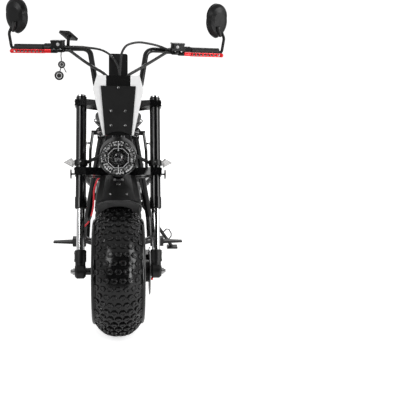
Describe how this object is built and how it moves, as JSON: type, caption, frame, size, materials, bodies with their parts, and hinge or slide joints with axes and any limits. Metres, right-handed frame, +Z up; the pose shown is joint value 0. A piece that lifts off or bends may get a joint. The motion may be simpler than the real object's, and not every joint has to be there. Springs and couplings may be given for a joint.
{
  "type": "electric scooter",
  "caption": "Electric scooter on broad knobbly tyres, with a long fork, high handlebar, single saddle, open tube frame over a battery case, and a side stand.",
  "frame": {"origin": "on the floor, in the middle of the scooter's length and width", "axes": "+Z up; the scooter faces -Y, so +Y runs from the front wheel to the rear wheel; +X is the rider's left"},
  "size_m": [0.9788, 1.9338, 1.3155],
  "materials": {
    "black_paint": "gloss",
    "polished_steel": "polished",
    "caliper_black": "satin",
    "black_plastic": "satin",
    "white_plastic": "gloss",
    "amber_lamp": "gloss",
    "lamp_glass": "clear",
    "grip_rubber": "matte",
    "red_metal": "anodised",
    "mirror_glass": "polished",
    "tyre_rubber": "matte",
    "wheel_black": "satin",
    "disc_steel": "brushed",
    "battery_grey": "satin",
    "saddle_leather": "satin",
    "red_lamp": "gloss",
    "plate_grey": "satin",
    "red_hose": "satin",
    "cable_black": "satin"
  },
  "bodies": {
    "chassis": {"brake_hose": "red_hose", "frame_spine": "black_paint", "frame_cradle": "black_paint", "frame_rails": "black_paint", "swingarm": "black_paint", "tail_hoop": "black_paint", "peg_brackets": "black_paint", "stand_bracket": "black_paint", "plate_holder": "black_paint", "battery_case": "battery_grey", "rear_axle": "polished_steel", "shock_springs": "polished_steel", "rear_shocks": "polished_steel", "rear_caliper": "caliper_black", "saddle": "saddle_leather", "saddle_pan": "black_plastic", "tail_housing": "black_plastic", "tail_cover": "black_plastic", "rear_mudguard": "black_plastic", "footpegs": "black_plastic", "tail_lens": "red_lamp", "rear_indicators": "amber_lamp", "number_plate": "plate_grey"},
    "steering": {"fork_tubes": "black_paint", "fork_bottoms": "black_paint", "top_clamp": "black_paint", "lower_clamp": "black_paint", "handlebar": "black_paint", "bar_clamp": "black_paint", "fork_stanchions": "polished_steel", "steering_stem": "polished_steel", "front_axle": "polished_steel", "front_caliper": "caliper_black", "bar_controls": "caliper_black", "front_mudguard": "black_plastic", "bar_panel": "black_plastic", "display": "black_plastic", "mirror_heads": "black_plastic", "headlight_case": "black_plastic", "front_plate": "black_plastic", "fairing": "white_plastic", "front_indicators": "amber_lamp", "reflectors": "amber_lamp", "headlight_glass": "lamp_glass", "lamp_insert": "polished_steel", "bar_cables": "cable_black", "grips": "grip_rubber", "brake_levers": "red_metal", "mirror_glasses": "mirror_glass"},
    "front_wheel": {"front_tyre": "tyre_rubber", "front_rim": "wheel_black", "front_disc": "disc_steel"},
    "rear_wheel": {"rear_tyre": "tyre_rubber", "rear_rim": "wheel_black", "rear_disc": "disc_steel"},
    "side_stand": {"side_stand": "black_paint"}
  },
  "joints": [
    {"name": "steering", "type": "hinge", "parent": "chassis", "child": "steering", "pos_m": [0, -0.45002, 0.69963], "axis": [0, 0.4446, 0.8957], "range_deg": [-36, 36]},
    {"name": "front_wheel_turn", "type": "hinge", "parent": "steering", "child": "front_wheel", "pos_m": [0, -0.701, 0.266], "axis": [1, 0, 0], "continuous": true},
    {"name": "rear_wheel_turn", "type": "hinge", "parent": "chassis", "child": "rear_wheel", "pos_m": [0, 0.649, 0.266], "axis": [1, 0, 0], "continuous": true},
    {"name": "stand_fold", "type": "hinge", "parent": "chassis", "child": "side_stand", "pos_m": [0.128, 0.271, 0.232], "axis": [0.803, -0.0707, 0.5918], "range_deg": [0, 89]}
  ]
}
